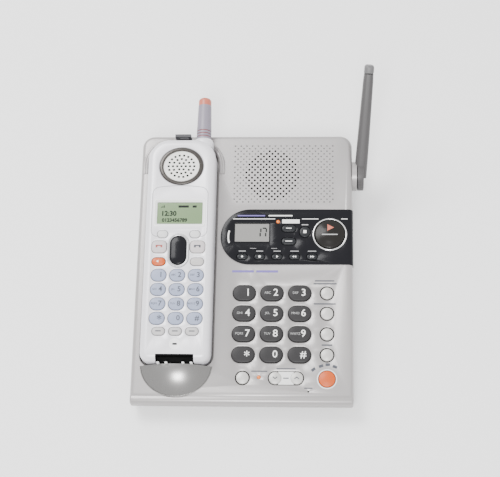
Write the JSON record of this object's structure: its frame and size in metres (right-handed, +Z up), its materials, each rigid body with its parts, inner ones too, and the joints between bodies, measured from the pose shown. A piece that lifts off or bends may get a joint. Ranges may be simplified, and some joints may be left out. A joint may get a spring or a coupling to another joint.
{
  "type": "cordless telephone",
  "caption": "Desk telephone base with dial, answering panel, loudspeaker and swivelling antenna, and a cordless handset lying in its charging cradle.",
  "frame": {"origin": "on the desk, under the middle of the whole set (base, docked handset and antenna)", "axes": "+X to the user's right, +Y away from the user, +Z up"},
  "size_m": [0.1977, 0.2723, 0.1068],
  "materials": {
    "silver_casing": "satin metallic paint",
    "light_plastic": "satin",
    "black_gloss": "gloss",
    "dark_key": "satin",
    "silver_key": "satin metallic paint",
    "orange_key": "gloss",
    "pad_blue": "translucent",
    "antenna_grey": "satin",
    "stub_grey": "satin",
    "lamp_salmon": "lit",
    "lamp_orange": "translucent",
    "display_glass": "clear",
    "green_glass": "clear",
    "board_green": "satin",
    "speaker_black": "matte",
    "gold_contact": "polished",
    "socket_black": "matte",
    "foot_rubber": "matte",
    "screw_steel": "zinc plated",
    "ear_metal": "metallic paint",
    "battery_wrap": "shrink wrap",
    "hook_grey": "satin"
  },
  "bodies": {
    "base": {"base_top_cover": "silver_casing", "base_bottom_cover": "light_plastic", "answering_panel": "black_gloss", "base_display_window": "display_glass", "base_circuit_board": "board_green", "loudspeaker": "speaker_black", "base_charge_contacts": "gold_contact", "line_jack": "socket_black", "power_jack": "socket_black", "rubber_feet": "foot_rubber", "base_screws": "screw_steel", "lamp_lenses": "lamp_orange", "antenna_mount": "silver_casing", "cradle_hook": "hook_grey"},
    "antenna": {"base_antenna": "antenna_grey"},
    "handset": {"handset_front_shell": "silver_casing", "handset_rear_shell": "silver_casing", "battery_pack": "battery_wrap", "earpiece_grille": "ear_metal", "earpiece_receiver": "speaker_black", "handset_display_window": "green_glass", "handset_circuit_board": "board_green", "handset_antenna": "stub_grey", "handset_antenna_lamp": "lamp_salmon", "handset_charge_contacts": "gold_contact", "handset_screws": "screw_steel"},
    "battery_door_body": {"battery_door": "silver_casing"},
    "volume_body": {"volume_key": "silver_key"},
    "navigator_body": {"navigator_key": "black_gloss"},
    "dial_key_1_body": {"dial_key_1": "dark_key"},
    "dial_key_2_body": {"dial_key_2": "dark_key"},
    "dial_key_3_body": {"dial_key_3": "dark_key"},
    "dial_key_4_body": {"dial_key_4": "dark_key"},
    "dial_key_5_body": {"dial_key_5": "dark_key"},
    "dial_key_6_body": {"dial_key_6": "dark_key"},
    "dial_key_7_body": {"dial_key_7": "dark_key"},
    "dial_key_8_body": {"dial_key_8": "dark_key"},
    "dial_key_9_body": {"dial_key_9": "dark_key"},
    "dial_key_star_body": {"dial_key_star": "dark_key"},
    "dial_key_0_body": {"dial_key_0": "dark_key"},
    "dial_key_hash_body": {"dial_key_hash": "dark_key"},
    "locator_key_body": {"locator_key": "silver_key"},
    "call_wait_key_body": {"call_wait_key": "silver_key"},
    "redial_key_body": {"redial_key": "silver_key"},
    "conference_key_body": {"conference_key": "silver_key"},
    "hold_key_body": {"hold_key": "silver_key"},
    "speakerphone_key_body": {"speakerphone_key": "orange_key"},
    "message_key_body": {"message_key": "black_gloss"},
    "stop_key_body": {"stop_key": "black_gloss"},
    "erase_key_body": {"erase_key": "black_gloss"},
    "answer_on_key_body": {"answer_on_key": "black_gloss"},
    "memo_key_body": {"memo_key": "black_gloss"},
    "greeting_record_key_body": {"greeting_record_key": "black_gloss"},
    "greeting_check_key_body": {"greeting_check_key": "black_gloss"},
    "repeat_key_body": {"repeat_key": "black_gloss"},
    "skip_key_body": {"skip_key": "black_gloss"},
    "handset_keypad_body": {"handset_keypad": "pad_blue"},
    "talk_key_body": {"talk_key": "pad_blue"},
    "off_key_body": {"off_key": "pad_blue"},
    "handset_speaker_key_body": {"handset_speaker_key": "orange_key"}
  },
  "joints": [
    {"name": "dial_key_1_press", "type": "slide", "parent": "base", "child": "dial_key_1_body", "axis": [0, 0.1392, -0.9903], "range_m": [0, 0.0012], "stiffness_N_per_m": 300, "springref_m": -0.0006},
    {"name": "dial_key_2_press", "type": "slide", "parent": "base", "child": "dial_key_2_body", "axis": [0, 0.1392, -0.9903], "range_m": [0, 0.0012], "stiffness_N_per_m": 300, "springref_m": -0.0006},
    {"name": "dial_key_3_press", "type": "slide", "parent": "base", "child": "dial_key_3_body", "axis": [0, 0.1392, -0.9903], "range_m": [0, 0.0012], "stiffness_N_per_m": 300, "springref_m": -0.0006},
    {"name": "dial_key_4_press", "type": "slide", "parent": "base", "child": "dial_key_4_body", "axis": [0, 0.1392, -0.9903], "range_m": [0, 0.0012], "stiffness_N_per_m": 300, "springref_m": -0.0006},
    {"name": "dial_key_5_press", "type": "slide", "parent": "base", "child": "dial_key_5_body", "axis": [0, 0.1392, -0.9903], "range_m": [0, 0.0012], "stiffness_N_per_m": 300, "springref_m": -0.0006},
    {"name": "dial_key_6_press", "type": "slide", "parent": "base", "child": "dial_key_6_body", "axis": [0, 0.1392, -0.9903], "range_m": [0, 0.0012], "stiffness_N_per_m": 300, "springref_m": -0.0006},
    {"name": "dial_key_7_press", "type": "slide", "parent": "base", "child": "dial_key_7_body", "axis": [0, 0.1392, -0.9903], "range_m": [0, 0.0012], "stiffness_N_per_m": 300, "springref_m": -0.0006},
    {"name": "dial_key_8_press", "type": "slide", "parent": "base", "child": "dial_key_8_body", "axis": [0, 0.1392, -0.9903], "range_m": [0, 0.0012], "stiffness_N_per_m": 300, "springref_m": -0.0006},
    {"name": "dial_key_9_press", "type": "slide", "parent": "base", "child": "dial_key_9_body", "axis": [0, 0.1392, -0.9903], "range_m": [0, 0.0012], "stiffness_N_per_m": 300, "springref_m": -0.0006},
    {"name": "dial_key_star_press", "type": "slide", "parent": "base", "child": "dial_key_star_body", "axis": [0, 0.1392, -0.9903], "range_m": [0, 0.0012], "stiffness_N_per_m": 300, "springref_m": -0.0006},
    {"name": "dial_key_0_press", "type": "slide", "parent": "base", "child": "dial_key_0_body", "axis": [0, 0.1392, -0.9903], "range_m": [0, 0.0012], "stiffness_N_per_m": 300, "springref_m": -0.0006},
    {"name": "dial_key_hash_press", "type": "slide", "parent": "base", "child": "dial_key_hash_body", "axis": [0, 0.1392, -0.9903], "range_m": [0, 0.0012], "stiffness_N_per_m": 300, "springref_m": -0.0006},
    {"name": "locator_key_press", "type": "slide", "parent": "base", "child": "locator_key_body", "axis": [0, 0.1392, -0.9903], "range_m": [0, 0.0012], "stiffness_N_per_m": 300, "springref_m": -0.0006},
    {"name": "call_wait_key_press", "type": "slide", "parent": "base", "child": "call_wait_key_body", "axis": [0, 0.1392, -0.9903], "range_m": [0, 0.0012], "stiffness_N_per_m": 300, "springref_m": -0.0006},
    {"name": "redial_key_press", "type": "slide", "parent": "base", "child": "redial_key_body", "axis": [0, 0.1392, -0.9903], "range_m": [0, 0.0012], "stiffness_N_per_m": 300, "springref_m": -0.0006},
    {"name": "conference_key_press", "type": "slide", "parent": "base", "child": "conference_key_body", "axis": [0, 0.1392, -0.9903], "range_m": [0, 0.0012], "stiffness_N_per_m": 300, "springref_m": -0.0006},
    {"name": "hold_key_press", "type": "slide", "parent": "base", "child": "hold_key_body", "axis": [0, 0.1392, -0.9903], "range_m": [0, 0.0012], "stiffness_N_per_m": 300, "springref_m": -0.0006},
    {"name": "speakerphone_key_press", "type": "slide", "parent": "base", "child": "speakerphone_key_body", "axis": [0, 0.1392, -0.9903], "range_m": [0, 0.0012], "stiffness_N_per_m": 300, "springref_m": -0.0006},
    {"name": "message_key_press", "type": "slide", "parent": "base", "child": "message_key_body", "axis": [0, 0.1392, -0.9903], "range_m": [0, 0.0012], "stiffness_N_per_m": 300, "springref_m": -0.0006},
    {"name": "stop_key_press", "type": "slide", "parent": "base", "child": "stop_key_body", "axis": [0, 0.1392, -0.9903], "range_m": [0, 0.0012], "stiffness_N_per_m": 300, "springref_m": -0.0006},
    {"name": "erase_key_press", "type": "slide", "parent": "base", "child": "erase_key_body", "axis": [0, 0.1392, -0.9903], "range_m": [0, 0.0012], "stiffness_N_per_m": 300, "springref_m": -0.0006},
    {"name": "answer_on_key_press", "type": "slide", "parent": "base", "child": "answer_on_key_body", "axis": [0, 0.1392, -0.9903], "range_m": [0, 0.0012], "stiffness_N_per_m": 300, "springref_m": -0.0006},
    {"name": "memo_key_press", "type": "slide", "parent": "base", "child": "memo_key_body", "axis": [0, 0.1392, -0.9903], "range_m": [0, 0.0012], "stiffness_N_per_m": 300, "springref_m": -0.0006},
    {"name": "greeting_record_key_press", "type": "slide", "parent": "base", "child": "greeting_record_key_body", "axis": [0, 0.1392, -0.9903], "range_m": [0, 0.0012], "stiffness_N_per_m": 300, "springref_m": -0.0006},
    {"name": "greeting_check_key_press", "type": "slide", "parent": "base", "child": "greeting_check_key_body", "axis": [0, 0.1392, -0.9903], "range_m": [0, 0.0012], "stiffness_N_per_m": 300, "springref_m": -0.0006},
    {"name": "repeat_key_press", "type": "slide", "parent": "base", "child": "repeat_key_body", "axis": [0, 0.1392, -0.9903], "range_m": [0, 0.0012], "stiffness_N_per_m": 300, "springref_m": -0.0006},
    {"name": "skip_key_press", "type": "slide", "parent": "base", "child": "skip_key_body", "axis": [0, 0.1392, -0.9903], "range_m": [0, 0.0012], "stiffness_N_per_m": 300, "springref_m": -0.0006},
    {"name": "handset_keypad_press", "type": "slide", "parent": "handset", "child": "handset_keypad_body", "axis": [0, 0.165, -0.9863], "range_m": [0, 0.0008], "stiffness_N_per_m": 300, "springref_m": -0.0006},
    {"name": "talk_key_press", "type": "slide", "parent": "handset", "child": "talk_key_body", "axis": [0, 0.165, -0.9863], "range_m": [0, 0.0008], "stiffness_N_per_m": 300, "springref_m": -0.0006},
    {"name": "off_key_press", "type": "slide", "parent": "handset", "child": "off_key_body", "axis": [0, 0.165, -0.9863], "range_m": [0, 0.0008], "stiffness_N_per_m": 300, "springref_m": -0.0006},
    {"name": "handset_speaker_key_press", "type": "slide", "parent": "handset", "child": "handset_speaker_key_body", "axis": [0, 0.165, -0.9863], "range_m": [0, 0.0008], "stiffness_N_per_m": 300, "springref_m": -0.0006},
    {"name": "antenna_swivel", "type": "hinge", "parent": "base", "child": "antenna", "pos_m": [0.08828, 0.06533, 0.036], "axis": [1, 0, 0], "range_deg": [-45, 45]},
    {"name": "handset_lift", "type": "slide", "parent": "base", "child": "handset", "axis": [0, -0.165, 0.9863], "range_m": [0, 0.08]},
    {"name": "battery_door_slide", "type": "slide", "parent": "handset", "child": "battery_door_body", "axis": [0, -0.9863, -0.165], "range_m": [0, 0.006]},
    {"name": "volume_rock", "type": "hinge", "parent": "base", "child": "volume_body", "pos_m": [0.02688, -0.1148, 0.02012], "axis": [0, 0.9903, 0.1392], "range_deg": [-3, 3], "stiffness_Nm_per_rad": 0.05},
    {"name": "navigator_rock", "type": "hinge", "parent": "handset", "child": "navigator_body", "pos_m": [-0.06222, -0.01591, 0.05211], "axis": [1, 0, 0], "range_deg": [-3, 3], "stiffness_Nm_per_rad": 0.05}
  ]
}
